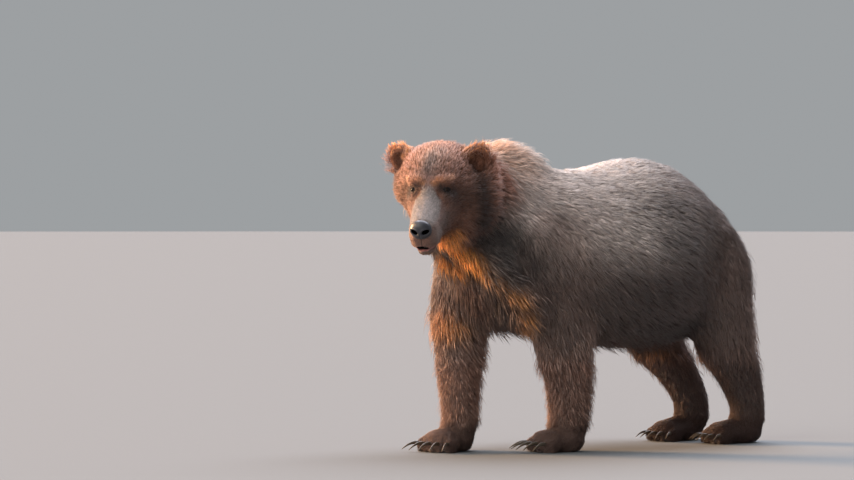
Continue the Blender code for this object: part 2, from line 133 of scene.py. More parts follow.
def linear(code):
    # sRGB hex to linear colour
    parts = [int(code[i:i + 2], 16) / 255 for i in (1, 3, 5)]
    return (*[c / 12.92 if c <= 0.04045 else ((c + 0.055) / 1.055) ** 2.4 for c in parts], 1)


# each light comes from so far right, behind and above, as the camera sees it; broad lights are soft
lights = {
    "sky": {"from": (0.08, 0.5, 1), "width": 65, "power": 7.2, "colour": "#F2F3FF"},
    "window": {"from": (-0.75, -0.65, 0.45), "width": 60, "power": 2.1, "colour": "#FFF8F0"},
    "low sun": {"from": (-0.84, 0.36, 0.26), "width": 16, "power": 11.5, "colour": "#FFCB98"},
}
studio = {"walls": "#D6DADD", "strength": 0.5, "floor": "#66696A", "floorRadius": 150, "lightsAway": 6}


def lightStudio(back, right):
    for name, one in lights.items():
        data = bpy.data.lights.new(name, "SUN")
        data.angle = math.radians(one["width"])
        data.energy = one["power"]
        data.color = linear(one["colour"])[:3]
        light = newObject(name, data)
        aside, behind, above = one["from"]
        towards = right * aside - back * behind + Vector((0, 0, above))
        light.location = towards.normalized() * studio["lightsAway"]
        light.rotation_mode = "QUATERNION"
        light.rotation_quaternion = towards.to_track_quat("Z", "Y")
    world = bpy.data.worlds.new("studio")
    bpy.context.scene.world = world
    world.use_nodes = True
    feed(world.node_tree.nodes["Background"], Color=linear(studio["walls"]), Strength=studio["strength"])
    bpy.context.scene.view_settings.view_transform = "Standard"


def feed(node, **inputs):
    # each input, by name or number, takes a value or a link
    for key, value in inputs.items():
        socket = node.inputs[int(key[1:]) if key[1:].isdigit() else key.replace("_", " ")]
        if isinstance(value, bpy.types.NodeSocket):
            node.id_data.links.new(value, socket)
        else:
            socket.default_value = value


def addNode(tree, kind, settings=None, **inputs):
    node = tree.nodes.new("ShaderNode" + kind)
    for key, value in (settings or {}).items():
        setattr(node, key, value)
    feed(node, **inputs)
    return node


def newMaterial(name, **inputs):
    material = bpy.data.materials.new(name)
    material.use_nodes = True
    shader = material.node_tree.nodes["Principled BSDF"]
    feed(shader, **inputs)
    return material, material.node_tree, shader


def painted(tree, colour, layers):
    # each layer is a share, and the colour that it lays over the rest
    for share, code in layers:
        over = addNode(tree, "Mix", {"data_type": "RGBA"}, _0=share, _6=colour, _7=linear(code))
        colour = over.outputs[2]
    return colour


# hair and bare skin colours, some also carrying painted light: the near-black brown is dark hair and
# painted shade, the frosted cream is frosted tips and painted light, the bright orange is golden hair with
# painted sunlit glow, and the near black of bare skin is dark lids and painted shade in the mouth and
# nostrils
hair = {
    "brown": "#66524C", "frostAndLight": "#EFE3DA", "rufous": "#965F45", "darkAndShade": "#1B1516", "goldAndGlow": "#FFAA52",
    "pale": "#90857F", "lip": "#94645F", "inside": "#0A0707", "undercoat": "#7D6A60",
}


def bearHair(name, isSkin):
    # guard hair over a dark undercoat: keratin, dull, with a faint sheen
    material, tree, shader = newMaterial(
        name, Roughness=0.62, Sheen_Weight=0.15, Sheen_Roughness=0.35, Specular_IOR_Level=0.28,
    )
    marks, bare, tone, along = (
        addNode(tree, "Attribute", {"attribute_name": kind})
        for kind in ("marks", "bare", "tone", "along")
    )
    frostAndLight, rufous, goldAndGlow = addNode(tree, "SeparateColor", _0=marks.outputs["Color"]).outputs
    pale, lip, inside = addNode(tree, "SeparateColor", _0=bare.outputs["Color"]).outputs
    colour = painted(tree, linear(hair["brown"]), (
        (frostAndLight, hair["frostAndLight"]), (rufous, hair["rufous"]), (marks.outputs["Alpha"], hair["darkAndShade"]),
        (pale, hair["pale"]), (goldAndGlow, hair["goldAndGlow"]),
    ))
    # darker at the root
    darker = {"data_type": "RGBA", "blend_type": "MULTIPLY"}
    under = addNode(tree, "Mix", darker, _0=1, _6=colour, _7=linear(hair["undercoat"])).outputs[2]
    smooth = {"interpolation_type": "SMOOTHSTEP"}
    tip = addNode(tree, "MapRange", smooth, _0=along.outputs["Fac"], _1=0, _2=0.6).outputs[0]
    whole = addNode(tree, "Mix", {"data_type": "RGBA"}, _0=tip, _6=under, _7=colour).outputs[2]
    # each tuft lighter or darker by its own tone, which on golden hair also carries the painted glow
    light = addNode(tree, "MapRange", _0=tone.outputs["Fac"], _3=0.56, _4=1.44).outputs[0]
    toned = addNode(tree, "VectorMath", {"operation": "SCALE"}, _0=whole, _3=light)
    colour = toned.outputs[0]
    if isSkin:
        colour = painted(tree, colour, ((lip, hair["lip"]), (inside, hair["inside"])))
        # short hairs about 2 mm apart
        place = addNode(tree, "TexCoord").outputs["Object"]
        grain = addNode(tree, "TexNoise", Vector=place, Scale=420, Detail=3)
        bump = addNode(tree, "Bump", Strength=0.35, Distance=0.0012, Height=grain.outputs[0])
        feed(shader, Normal=bump.outputs[0])
    feed(shader, Base_Color=colour)
    return material


def readOff(items, key, width, kind=float):
    # one property of each item, as rows
    flat = np.empty(len(items) * width, kind)
    items.foreach_get(key, flat)
    return flat.reshape(-1, width)


def meshPoints(mesh):
    return readOff(mesh.vertices, "co", 3)


def meshNormals(mesh):
    return readOff(mesh.vertex_normals, "vector", 3)


def meshEdges(mesh):
    return readOff(mesh.edges, "vertices", 2, np.int64)


def writeTo(items, key, values, kind=np.float32):
    items.foreach_set(key, np.ascontiguousarray(values, kind).ravel())


def setPoints(mesh, points):
    writeTo(mesh.vertices, "co", points)
    mesh.update()


def relaxed(values, edges, rounds, share=0.5):
    # each value moves towards the mean of its neighbours
    values = values.reshape(len(values), -1).copy()
    size = len(values)
    first, second = edges.T
    count = np.bincount(edges.ravel(), minlength=size).clip(1)
    share = np.asarray(share).reshape(-1, 1)
    for _ in range(rounds):
        for k in range(values.shape[1]):
            column = values[:, k]
            total = np.bincount(first, column[second], size) + np.bincount(second, column[first], size)
            values[:, k] = column + (total / count - column) * share[:, 0]
    return values


def unit(vectors):
    return vectors / np.linalg.norm(vectors, axis=1, keepdims=True).clip(1e-9)


def ramp(values, low, high):
    t = ((values - low) / (high - low)).clip(0, 1)
    return t * t * (3 - 2 * t)


def nearness(points, place, reach):
    # 1 at the place, and less and less out to its reach and beyond
    away = (points - np.array(place)) / reach
    return np.exp(-(away ** 2).sum(1))


def headSpots(rows, sided=(1,)):
    # spots on the head, from rows of place, reach and value, on each of the sides
    return [(onHead(side * x, y, z), reach, value) for side in sided for x, y, z, *reach, value in rows]


def boxSpots(**groups):
    # the same elsewhere, with each place in shares of the box of the node that its rows are under
    return [
        (inBox(node, x, y, z), reach, value)
        for node, rows in groups.items() for x, y, z, *reach, value in rows
    ]


def spread(points, values, spots):
    # each spot pulls the values near it towards its own
    values = np.array(values, float)
    for place, reach, wanted in spots:
        values = values + (wanted - values) * nearness(points, place, reach)
    return values


def modify(obj, kind, **settings):
    modifier = obj.modifiers.new(kind, kind)
    for key, value in settings.items():
        setattr(modifier, key, value)


def applied(obj):
    # the object's mesh with its modifiers worked in
    graph = bpy.context.evaluated_depsgraph_get()
    mesh = bpy.data.meshes.new_from_object(obj.evaluated_get(graph))
    obj.modifiers.clear()
    obj.data = mesh
    return mesh


def newObject(name, data):
    obj = bpy.data.objects.new(name, data)
    bpy.context.scene.collection.objects.link(obj)
    return obj


def welded(node):
    # a CAD node's faces, joined where they meet
    bm = bmesh.new()
    bm.from_mesh(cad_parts[node].data)
    bmesh.ops.remove_doubles(bm, verts=bm.verts, dist=1e-5)
    return bm


def finished(bm, name):
    # the bmesh as an object
    mesh = bpy.data.meshes.new(name)
    bm.to_mesh(mesh)
    bm.free()
    return newObject(name, mesh)


fleshNodes = [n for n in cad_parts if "claw" not in n and "eye_" not in n and n != "nose"]

skinMaking = {
    "grid": 0.006, "grow": 0.0008, "bodyRounds": 40, "fineRounds": 5, "wayRounds": 8, "partRounds": 25,
    "depthShare": 0.36,  # the coat's depth as a share of its length, as it lies
    "aboveFloor": 0.0006, "triangles": 110000, "spareFine": 0.0004, "tone": 0.4, "along": 0.45,
}


def fusedFlesh():
    # every node of flesh as one closed mesh, with the thin cuts between them closed up
    bm = bmesh.new()
    for node in fleshNodes + ["nose", "eye_left", "eye_right"]:
        part = welded(node)
        for v in part.verts:
            v.co += v.normal * (skinMaking["grow"] if node in fleshNodes else 0)
        mesh = bpy.data.meshes.new("part")
        part.to_mesh(mesh)
        part.free()
        bm.from_mesh(mesh)
        bpy.data.meshes.remove(mesh)
    skin = finished(bm, "skin")
    modify(skin, "REMESH", mode="VOXEL", voxel_size=skinMaking["grid"])
    applied(skin)
    return skin


def nearest(points, places, numbers):
    # the number of the place nearest to each point
    tree = kdtree.KDTree(len(places))
    for place, number in zip(places, numbers):
        tree.insert(place, int(number))
    tree.balance()
    return np.array([tree.find(p)[1] for p in points])


def nearestNodes(points):
    places, numbers = [], []
    for number, node in enumerate(fleshNodes):
        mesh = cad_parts[node].data
        at = meshPoints(mesh)
        places += [*at, *(at[list(f.vertices)].mean(0) for f in mesh.polygons)]
        numbers += [number] * (len(places) - len(numbers))
    return nearest(points, places, numbers)


def partOf(node):
    return "_".join(word for word in node.split("_") if word not in sides)


def partShares(points, edges):
    # how far each point belongs to each part of the body, blurred over the mesh
    numbers = nearestNodes(points)
    groups = {}
    for number, node in enumerate(fleshNodes):
        groups.setdefault(partOf(node), np.zeros(len(points)))[numbers == number] = 1
    shares = relaxed(np.stack(list(groups.values()), 1), edges, skinMaking["partRounds"])
    return dict(zip(groups, (shares / shares.sum(1, keepdims=True)).T))


# how long the hair is on each part, in metres
coatLength = {
    "trunk": 0.078, "neck": 0.082, "head": 0.034, "jaw": 0.02, "ear": 0.018, "tail": 0.06,
    "foreleg_upper": 0.068, "foreleg_lower": 0.05, "foreleg_paw": 0.017,
    "hind_leg_upper": 0.062, "hind_leg_lower": 0.044, "hind_leg_paw": 0.017,
}


def coatLengths(points, base):
    # how long the hair is where it differs from the rest of its part
    spots = headSpots((
        (0, 0.12, 0, 0.25, 0.08, 0.25, 0.062), (0, -0.33, -0.09, 0.1, 0.1, 0.1, 0.0045),
        (0, -0.23, -0.02, 0.075, 0.075, 0.075, 0.008), (0, -0.15, 0.05, 0.08, 0.06, 0.06, 0.015),
    ))
    spots += boxSpots(trunk=(
        (0.5, 0.18, 1, 0.14, 0.13, 0.09, 0.06), (0.5, 0.38, 1, 0.25, 0.16, 0.12, 0.06),
        (0.5, 0.5, 0, 0.25, 0.35, 0.08, 0.06),
    ))
    spots += headSpots((
        (0.063, -0.15, 0.03, 0.035, 0.035, 0.035, 0.008), (0.05, -0.15, 0.07, 0.04, 0.018, 0.014, 0.019),
        (0.163, 0.01, 0.088, 0.032, 0.03, 0.042, 0.027), (0.1, -0.17, -0.09, 0.05, 0.05, 0.05, 0.016),
        (0.15, -0.01, -0.03, 0.06, 0.06, 0.08, 0.04), (0.19, 0.09, -0.06, 0.06, 0.08, 0.13, 0.078),
    ), sides.values())
    return spread(points, base, spots)


# from behind the jaw down the edge of the breast, on the side that the head turns to:
# rows of place, reach and strength
throat = headSpots((
    (0.085, -0.12, -0.18, 0.026, 1), (0.055, -0.1, -0.205, 0.035, 1), (0.04, -0.06, -0.24, 0.04, 1),
)) + boxSpots(trunk=(
    (0.497, -0.012, 0.508, 0.035, 0.95), (0.57, 0, 0.47, 0.03, 0.8),
    (0.663, -0.091, 0.557, 0.036, 1), (0.66, -0.055, 0.535, 0.034, 1),
    (0.665, -0.03, 0.515, 0.03, 1), (0.688, -0.01, 0.492, 0.027, 0.95),
    (0.702, 0.008, 0.463, 0.023, 0.85), (0.72, 0.026, 0.425, 0.02, 0.65),
    (0.76, 0.052, 0.378, 0.02, 0.5), (0.79, 0.08, 0.33, 0.023, 0.5),
    (0.822, 0.105, 0.3, 0.032, 0.52), (0.8, 0.13, 0.225, 0.035, 0.5),
    (0.7, 0.175, 0.205, 0.045, 0.58),
))


def coatLift(points, shares):
    # how much the hair stands up, beside its usual lie
    spots = boxSpots(trunk=((0.5, 0.15, 0.96, 0.14, 0.11, 0.08, 1.3),))
    spots += headSpots(((0, 0.12, 0.1, 0.16, 0.07, 0.1, 1.35),))
    spots += [(place, reach[0] * 1.3, 1.5) for place, reach, _ in throat]
    spots += headSpots((
        (0, -0.2, 0, 0.13, 0.16, 0.16, 0.7), (0, -0.3, -0.06, 0.08, 0.1, 0.09, 0.45),
    ))
    spots += headSpots((
        (0.19, 0.06, -0.06, 0.06, 0.07, 0.12, 1.6), (0.15, -0.01, -0.03, 0.06, 0.06, 0.08, 1.3),
        (0.05, -0.15, 0.07, 0.04, 0.018, 0.014, 1.35),
    ), sides.values())
    return spread(points, 1 + 0.7 * shares["ear"] + 0.3 * shares["foreleg_lower"], spots)


def earRims(normals, shares):
    # the rim of each ear, where the skin faces sideways
    ahead = (normals @ headTurn)[:, 1]
    return shares["ear"] * ramp(-np.abs(ahead), -0.75, -0.35)


def weightGroup(obj, name, values):
    group = obj.vertex_groups.new(name=name)
    levels = np.round(values * 10)
    for level in range(1, 11):
        group.add(np.flatnonzero(levels == level).tolist(), level / 10, "REPLACE")
    return group.name


def shrunkSkin():
    # the fused flesh, smoothed, and drawn in by the depth of the coat
    skin = fusedFlesh()
    points = meshPoints(skin.data)
    numbers = nearestNodes(points)
    atHead = moved(points, toHead)
    isFace = np.array([n in ("head", "jaw") for n in fleshNodes])[numbers]
    isThin = np.array(["ear_" in n or "paw" in n for n in fleshNodes])[numbers]
    fine = np.where(isFace, ramp(-atHead[:, 1], 0.05, 0.2), isThin)
    modify(skin, "SMOOTH", iterations=skinMaking["fineRounds"])
    flesh = weightGroup(skin, "flesh", 1 - fine)
    modify(skin, "SMOOTH", iterations=skinMaking["bodyRounds"], vertex_group=flesh)
    coarse = 0.3 + 0.7 * ramp(atHead[:, 1], -0.02, 0.14)
    mesh = applied(skin)
    points, edges = meshPoints(mesh), meshEdges(mesh)
    inwards = -unit(relaxed(meshNormals(mesh), edges, skinMaking["wayRounds"]))
    base = np.array([coatLength[partOf(n)] for n in fleshNodes])[numbers]
    base = relaxed(base, edges, skinMaking["partRounds"])[:, 0]
    depth = coatLengths(points, base) * skinMaking["depthShare"]
    shift = inwards * depth[:, None]
    sole = ramp(-points[:, 2], -0.045, -0.01) * ramp(inwards[:, 2], 0.1, 0.6)
    shift[:, 2] *= 1 - sole
    points += shift
    points[:, 2] = points[:, 2].clip(skinMaking["aboveFloor"], None)
    setPoints(mesh, points)
    mesh.calc_loop_triangles()
    ratio = skinMaking["triangles"] / len(mesh.loop_triangles)
    body = weightGroup(skin, "body", coarse)
    modify(skin, "DECIMATE", ratio=ratio, vertex_group=body, vertex_group_factor=skinMaking["spareFine"])
    applied(skin)
    skin.vertex_groups.clear()
    return skin


# rounds of finer faces on the head: the place of each, and how far it reaches
finer = [
    (onHead(0, -0.3, -0.1), 0.105), (onHead(0, -0.33, -0.145), 0.062),
    *[(centreOf("eye_" + name), reach) for name in sides for reach in (0.04, 0.03, 0.021)],
]


def refineFace(skin):
    bm = bmesh.new()
    bm.from_mesh(skin.data)
    for place, reach in finer:
        near = [e for e in bm.edges if ((e.verts[0].co + e.verts[1].co) / 2 - place).length < reach]
        bmesh.ops.subdivide_edges(bm, edges=near, cuts=1)
        bmesh.ops.triangulate(bm, faces=[f for f in bm.faces if len(f.verts) > 3])
    bm.to_mesh(skin.data)
    bm.free()


eyes = {
    "look": (0.5, 0.84, 0.1),  # to its own side, ahead and up
    "halfWidth": 0.0112, "above": 0.0058, "below": 0.0046, "deeper": 0.0055, "reach": 0.03,
    "lid": 0.001, "lidRoll": 0.0018, "lidReach": (0.0105, 0.019), "mound": 0.002, "moundReach": 0.026,
    "crease": 0.0018, "creaseUp": 0.0125, "creaseBend": 12, "creaseTall": 0.0022, "creaseWide": 0.014,
}


def eyeAxes(name):
    # the way an eye looks, and its across and up directions
    side = sides[name]
    turn = toWorld.to_3x3()
    aside, ahead, above = eyes["look"]
    look = (turn @ Vector((side * aside, -ahead, above))).normalized()
    across = turn @ Vector((side, 0, 0))
    across = (across - look * across.dot(look)).normalized()
    up = look.cross(across) * -side
    return look, across, up * (1 if up.z > 0 else -1)


def eyeRadius(name):
    low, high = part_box("eye_" + name)
    return (high.z - low.z) / 2


def eyeCentre(name):
    return np.array(centreOf("eye_" + name) - eyeAxes(name)[0] * eyes["deeper"])


def lidDistance(u, v):
    # how far outside the almond between the lids a place is, less than nothing inside it
    half = np.where(v > 0, eyes["above"], eyes["below"])
    tall = half * np.sqrt((1 - (u / eyes["halfWidth"]) ** 2).clip(0, 1))
    inside = np.maximum(np.abs(v) - tall, -0.006)
    beyond = (np.abs(u) - eyes["halfWidth"]).clip(0, None)
    return np.where(beyond > 0, np.hypot(beyond, v), inside)


def eyePlaces(points, name):
    # how far across, up and ahead of the eye's centre
    look, across, up = eyeAxes(name)
    away = points - eyeCentre(name)
    return away @ np.array(across), away @ np.array(up), away @ np.array(look)


def sculptEyes(points):
    # the lids lie on the eyeball and stand open as an almond, on a low mound under the brow
    points = points.copy()
    for name in sides:
        look = np.array(eyeAxes(name)[0])
        u, v, w = eyePlaces(points, name)
        mound = eyes["mound"] * np.exp(-((u * u + v * v) / eyes["moundReach"] ** 2)) * (w > 0)
        off = (v - eyes["creaseUp"] + eyes["creaseBend"] * u * u) / eyes["creaseTall"]
        crease = eyes["crease"] * np.exp(-off ** 2 - (u / eyes["creaseWide"]) ** 2) * (w > 0)
        points += look * (mound - crease)[:, None]
        u, v, w = eyePlaces(points, name)
        around = np.hypot(u, v)
        edge = lidDistance(u, v)
        roll = eyes["lidRoll"] * np.exp(-((edge - 0.0012) / 0.0026) ** 2)
        thick = np.where(edge > 0, eyes["lid"] + roll, -0.003)
        centre = eyeCentre(name)
        wanted = centre + unit(points - centre) * (eyeRadius(name) + thick)[:, None]
        near, far = eyes["lidReach"]
        share = ramp(-around, -far, -near) * (w > 0)
        share = np.where(edge <= 0, w > 0, share) * (around < eyes["reach"])
        points += (wanted - points) * share[:, None]
    return points


cheek = {"place": (0.1, -0.185, -0.105), "reach": (0.07, 0.055, 0.05), "rounds": 45, "share": 0.35}


def softenMuzzle(points, edges):
    # the cheek runs into the lips without a crease
    share = nearness(onOneSide(points), cheek["place"], cheek["reach"])
    return relaxed(points, edges, cheek["rounds"], share * cheek["share"])


# folds and hollows of the face: rows of place, reach and push outwards, alike on both sides
faceForms = (
    (0.056, -0.134, 0.066, 0.036, 0.03, 0.015, 0.015), (0, -0.12, 0.11, 0.01, 0.06, 0.045, -0.009),
    (0.04, -0.178, 0.016, 0.017, 0.02, 0.016, -0.008), (0.066, -0.15, 0.032, 0.028, 0.03, 0.014, -0.004),
    (0.1, -0.12, 0.02, 0.03, 0.03, 0.04, -0.006), (0.072, -0.15, -0.005, 0.03, 0.03, 0.012, 0.004),
    (0.06, -0.3, -0.105, 0.022, 0.045, 0.02, 0.003),
)


def shapeFace(points, normals):
    at = onOneSide(points)
    push = sum(amount * nearness(at, form[:3], form[3:]) for *form, amount in faceForms)
    return points + normals * push[:, None]


mouth = {
    "corner": -0.205, "cornerUp": -0.158, "front": -0.42, "upper": -0.134, "lower": -0.156,
    "halfWidth": 0.09, "deeper": 0.006, "shut": (0.014, 0.03), "squeeze": 0.02,
    "roll": 0.002, "rollAt": 0.0035, "rollWide": 0.003, "drawnBack": 0.024,
}
noseRoom = {"place": (0, -0.35, -0.066), "reach": (0.043, 0.031, 0.042)}


def mouthPlaces(at):
    # how far forward of the corner, how far above the middle of the gap, half its height, how far shut
    x, y, z = at.T
    along = (y - mouth["corner"]) / (mouth["front"] - mouth["corner"])
    middle = mouth["cornerUp"] + along * ((mouth["upper"] + mouth["lower"]) / 2 - mouth["cornerUp"])
    half = (along * (mouth["upper"] - mouth["lower"]) / 2).clip(0.0006, None)
    return along, z - middle, half, ramp(np.abs(x), *mouth["shut"])


def inNose(points):
    # less than 1 inside the nose pad
    away = (moved(points, toHead) - noseRoom["place"]) / noseRoom["reach"]
    return np.linalg.norm(away, axis=1)


def sculptMouth(points):
    # the lips part over a dark gap, and roll outwards at its edges
    at = moved(points, toHead)
    # the skin draws back behind the nose pad, clear of its nostrils
    at[:, 1] += mouth["drawnBack"] * ramp(-inNose(points), -0.97, -0.7)
    along, off, half, shut = mouthPlaces(at)
    near = ramp(along, 0.05, 0.3) * (np.abs(at[:, 0]) < mouth["halfWidth"])
    gap = (1 - (off / (half * 0.9 + 0.0008)) ** 2).clip(0, 1) * (1 - shut)
    # towards the corners the lips meet
    at[:, 2] -= off * shut * near * (1 - (np.abs(off) - half) / mouth["squeeze"]).clip(0, 1)
    off, half = mouthPlaces(at)[1], half * (1 - shut)
    roll = mouth["roll"] * np.exp(-((np.abs(off) - half - mouth["rollAt"]) / mouth["rollWide"]) ** 2)
    outwards = unit(np.stack([at[:, 0], at[:, 1] + 0.25, np.zeros(len(at))], 1))
    at += outwards * (near * (roll - mouth["deeper"] * gap))[:, None]
    return moved(at, toWorld)


skin = shrunkSkin()
refineFace(skin)
points, edges = meshPoints(skin.data), meshEdges(skin.data)
points = softenMuzzle(points, edges)
setPoints(skin.data, points)
points = sculptMouth(sculptEyes(shapeFace(points, meshNormals(skin.data))))
setPoints(skin.data, points)
skin.data.shade_smooth()
normals = meshNormals(skin.data)
shares = partShares(points, edges)
print("skin:", len(skin.data.polygons), "faces")


# the pale top of the muzzle: pale hair kept to the top, so the lit top and the darker shaded sides are
# partly painted light; place forward, half width and lower edge
stripe = (
    (-0.34, 0.06, -0.058), (-0.26, 0.06, -0.04), (-0.205, 0.052, -0.008), (-0.185, 0.026, 0.025),
    (-0.16, 0.016, 0.045),
)


def paleStripe(at):
    forward, half, lowest = np.array(stripe).T
    x, y, z = at.T
    across = np.abs(x) - np.interp(y, forward, half)
    above = z - np.interp(y, forward, lowest)
    return ramp(-across, -0.01, 0.007) * ramp(above, -0.022, 0.014) * ramp(-y, 0.16, 0.192)


# spots of each marking: rows of place, reach and share
# frosted tips on the back, hump, shoulder and crown; the shoulder's paler spot is partly painted light
frostAndLightSpots = boxSpots(trunk=(
    (0.5, 0.42, 1, 0.34, 0.36, 0.15, 1), (0.5, 0.16, 1, 0.16, 0.12, 0.1, 1),
    (0.62, 0.14, 0.9, 0.12, 0.11, 0.1, 1),
)) + headSpots((
    (0, 0, 0.19, 0.12, 0.12, 0.09, 0.2), (0, -0.1, 0.12, 0.06, 0.06, 0.06, 0.26),
))
rufousSpots = boxSpots(trunk=(
    (0.5, 0.5, 0, 0.3, 0.6, 0.08, 0.75), (0.5, 0, 0.25, 0.16, 0.16, 0.22, 0.55),
)) + headSpots((
    (0, -0.1, 0.13, 0.035, 0.08, 0.07, 0.16), (0, -0.28, -0.08, 0.1, 0.09, 0.07, 0.22),
)) + headSpots(((0.2, 0.1, 0, 0.06, 0.08, 0.13, 0.9),), sides.values())
# painted shade on the head: round the eyes and under the brow, down the sides of the muzzle, on the lower
# cheeks and in the crease between cheek and ruff
darkAndShadeSpots = headSpots((
    (0.066, -0.16, 0.03, 0.034, 0.04, 0.018, 0.95), (0.088, -0.15, 0.006, 0.041, 0.045, 0.036, 0.91),
    (0.085, -0.21, -0.075, 0.034, 0.055, 0.045, 0.2), (0.13, -0.1, -0.03, 0.04, 0.05, 0.06, 0.45),
    (0.166, 0, 0.088, 0.034, 0.034, 0.046, 0.78), (0.178, -0.04, 0.03, 0.028, 0.03, 0.045, 0.72),
    (0.181, -0.048, -0.02, 0.028, 0.03, 0.05, 0.85), (0.18, -0.062, -0.08, 0.03, 0.034, 0.05, 0.88),
    (0.174, -0.06, -0.145, 0.038, 0.04, 0.055, 0.92), (0.16, -0.04, -0.22, 0.04, 0.045, 0.05, 0.92),
    (0.135, 0.02, 0.02, 0.03, 0.04, 0.07, 0.5), (0.05, -0.166, 0.044, 0.022, 0.016, 0.012, 0.85),
), sides.values())
# painted shade in the furrow down the middle of the forehead
darkAndShadeSpots += headSpots(((0, -0.1, 0.12, 0.012, 0.04, 0.04, 0.35),))
darkAndShadeSpots += boxSpots(trunk=(
    # painted shade in the folds of the side of the neck that the head turns to
    (0.79, 0.03, 0.6, 0.06, 0.06, 0.08, 0.92), (0.82, 0.09, 0.55, 0.07, 0.07, 0.08, 0.92),
    (0.84, 0.14, 0.46, 0.07, 0.08, 0.09, 0.85), (0.86, 0.19, 0.36, 0.07, 0.08, 0.1, 0.5),
    (0.775, 0.045, 0.5, 0.045, 0.06, 0.06, 0.92), (0.8, 0.09, 0.44, 0.05, 0.06, 0.06, 0.8),
    # the haunches: darker hair, and painted shade
    (0.87, 0.6, 0.7, 0.12, 0.12, 0.09, 0.6), (0.94, 0.62, 0.56, 0.1, 0.12, 0.08, 0.62),
    (0.13, 0.6, 0.66, 0.12, 0.12, 0.12, 0.5), (0.93, 0.86, 0.46, 0.12, 0.12, 0.12, 0.16),
    (0.94, 0.68, 0.27, 0.12, 0.16, 0.1, 0.2),
    # painted shade on the breast between the forelegs, and in the crease of the far upper foreleg
    (0.58, 0.06, 0.3, 0.05, 0.08, 0.1, 0.45), (0.71, 0.07, 0.31, 0.035, 0.05, 0.06, 0.8),
    (0.69, 0.11, 0.23, 0.035, 0.05, 0.06, 0.6),
), foreleg_right_upper=((0.3, 0.05, 0.42, 0.05, 0.08, 0.1, 0.45),))
# golden hair with painted sunlit glow: along the edge of the throat and breast, on the hump and crown, on
# the chin and on edges of the legs and belly
goldAndGlowSpots = throat + boxSpots(trunk=(
    (0.5, 0.14, 0.97, 0.13, 0.09, 0.06, 0.5), (0.62, 0.13, 0.89, 0.13, 0.13, 0.1, 0.24),
)) + headSpots(((0, -0.04, 0.13, 0.12, 0.11, 0.06, 0.12),))
# the brow: golden hair as a painted highlight over the painted shade round the eye
brow = ((0.02, -0.16, 0.055), (0.038, -0.152, 0.067), (0.06, -0.145, 0.07), (0.082, -0.134, 0.07))
goldAndGlowSpots += headSpots([(*place, 0.012, 0.012, 0.009, 0.45) for place in brow], sides.values())
goldAndGlowSpots += headSpots(((0, -0.345, -0.195, 0.03, 0.03, 0.022, 0.5),))
goldAndGlowSpots += boxSpots(
    foreleg_left_upper=((0.3, 0.32, 0.2, 0.05, 0.05, 0.08, 0.5),),
    foreleg_left_lower=((0.05, 0.5, 0.9, 0.03, 0.06, 0.09, 0.35),),
    foreleg_right_upper=((0.62, 0.12, 0.25, 0.1, 0.06, 0.055, 0.6),),
    hind_leg_left_upper=((0.2, 0.45, 0.06, 0.04, 0.06, 0.07, 0.55),),
    trunk=((0.4, 0.8, 0.02, 0.06, 0.08, 0.02, 0.55),),
)
# pale hair round the lips: rows of place and share, alike on both sides
paleLips = ((0, -0.36, -0.18, 0.85), (0.045, -0.3, -0.1, 0.62), (0.068, -0.215, -0.08, 0.35))
paleReach = 0.047


